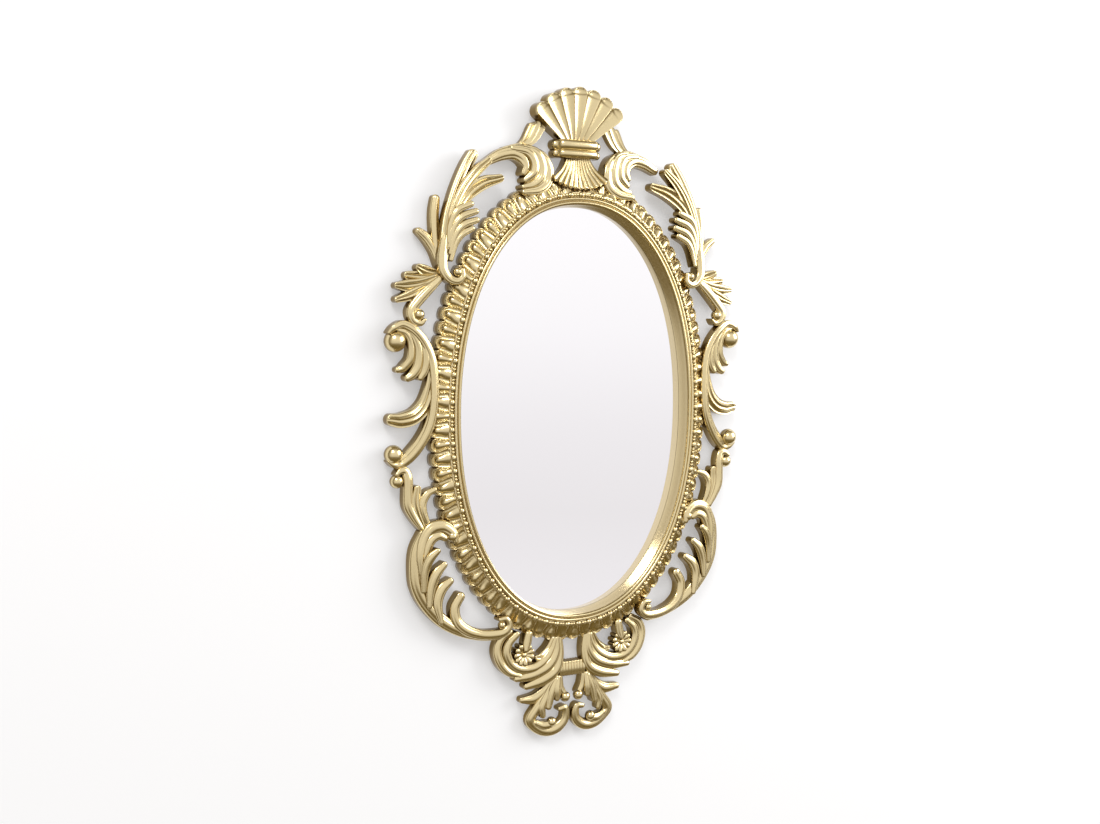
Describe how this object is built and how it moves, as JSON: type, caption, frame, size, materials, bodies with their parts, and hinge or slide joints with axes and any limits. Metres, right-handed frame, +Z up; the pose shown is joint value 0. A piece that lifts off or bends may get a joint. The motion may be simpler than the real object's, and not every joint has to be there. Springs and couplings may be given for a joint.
{
  "type": "oval wall mirror",
  "caption": "Oval wall mirror, flat plate in a deep gilded openwork frame with beads, a gadroon band, carved scrolls and a shell crest; board, turn buttons and ring hangers on the back",
  "frame": {"origin": "centre of the oval in the plane of the frame's flat back", "axes": "+X right as seen from the front, -Y out of the mirror's face, +Z up"},
  "size_m": [0.4878, 0.0328, 0.7644],
  "materials": {
    "gold": "moulded resin in satin champagne gold metallic paint",
    "mirror": "silvered plate",
    "board": "plain hardboard",
    "steel": "zinc plated",
    "pad": "matt black rubber"
  },
  "bodies": {
    "frame": {"mirror_glass": "mirror", "backing_board": "board", "sight_moulding": "gold", "bead_row": "gold", "gadroon_band": "gold", "crest_binding": "gold", "crest_shell": "gold", "crest_skirt": "gold", "crest_scroll_left": "gold", "crest_scroll_right": "gold", "upper_spray_left": "gold", "upper_spray_right": "gold", "side_fan_left": "gold", "side_fan_right": "gold", "side_scroll_left": "gold", "side_scroll_right": "gold", "side_link_left": "gold", "side_link_right": "gold", "lower_scroll_left": "gold", "lower_scroll_right": "gold", "pendant_scroll_left": "gold", "pendant_scroll_right": "gold", "pendant_tail_left": "gold", "pendant_tail_right": "gold", "pendant_binding": "gold", "hanger_strap_left": "steel", "hanger_strap_right": "steel", "button_screw_1": "steel", "button_screw_2": "steel", "button_screw_3": "steel", "button_screw_4": "steel", "button_screw_5": "steel", "button_screw_6": "steel", "hanger_screw_1": "steel", "hanger_screw_2": "steel", "hanger_screw_3": "steel", "hanger_screw_4": "steel", "oval_carcass": "gold", "bumper_pad_1": "pad", "bumper_pad_2": "pad", "bumper_pad_3": "pad", "bumper_pad_4": "pad"},
    "turn_button_1": {"turn_button_1": "steel"},
    "turn_button_2": {"turn_button_2": "steel"},
    "turn_button_3": {"turn_button_3": "steel"},
    "turn_button_4": {"turn_button_4": "steel"},
    "turn_button_5": {"turn_button_5": "steel"},
    "turn_button_6": {"turn_button_6": "steel"},
    "hanger_ring_left": {"hanger_ring_left": "steel"},
    "hanger_ring_right": {"hanger_ring_right": "steel"}
  },
  "joints": [
    {"name": "turn_button_1_pivot", "type": "hinge", "parent": "frame", "child": "turn_button_1", "pos_m": [0.14215, 0.0018, 0.12988], "axis": [0, 1, 0], "range_deg": [-90, 90]},
    {"name": "turn_button_2_pivot", "type": "hinge", "parent": "frame", "child": "turn_button_2", "pos_m": [0, 0.0018, 0.2475], "axis": [0, 1, 0], "range_deg": [-90, 90]},
    {"name": "turn_button_3_pivot", "type": "hinge", "parent": "frame", "child": "turn_button_3", "pos_m": [-0.14215, 0.0018, 0.12988], "axis": [0, 1, 0], "range_deg": [-90, 90]},
    {"name": "turn_button_4_pivot", "type": "hinge", "parent": "frame", "child": "turn_button_4", "pos_m": [-0.14215, 0.0018, -0.12988], "axis": [0, 1, 0], "range_deg": [-90, 90]},
    {"name": "turn_button_5_pivot", "type": "hinge", "parent": "frame", "child": "turn_button_5", "pos_m": [0, 0.0018, -0.2475], "axis": [0, 1, 0], "range_deg": [-90, 90]},
    {"name": "turn_button_6_pivot", "type": "hinge", "parent": "frame", "child": "turn_button_6", "pos_m": [0.14215, 0.0018, -0.12988], "axis": [0, 1, 0], "range_deg": [-90, 90]},
    {"name": "hanger_ring_left_swing", "type": "hinge", "parent": "frame", "child": "hanger_ring_left", "pos_m": [-0.16359, 0.0029, 0.08], "axis": [1, 0, 0], "range_deg": [0, 180]},
    {"name": "hanger_ring_right_swing", "type": "hinge", "parent": "frame", "child": "hanger_ring_right", "pos_m": [0.16359, 0.0029, 0.08], "axis": [1, 0, 0], "range_deg": [0, 180]}
  ]
}
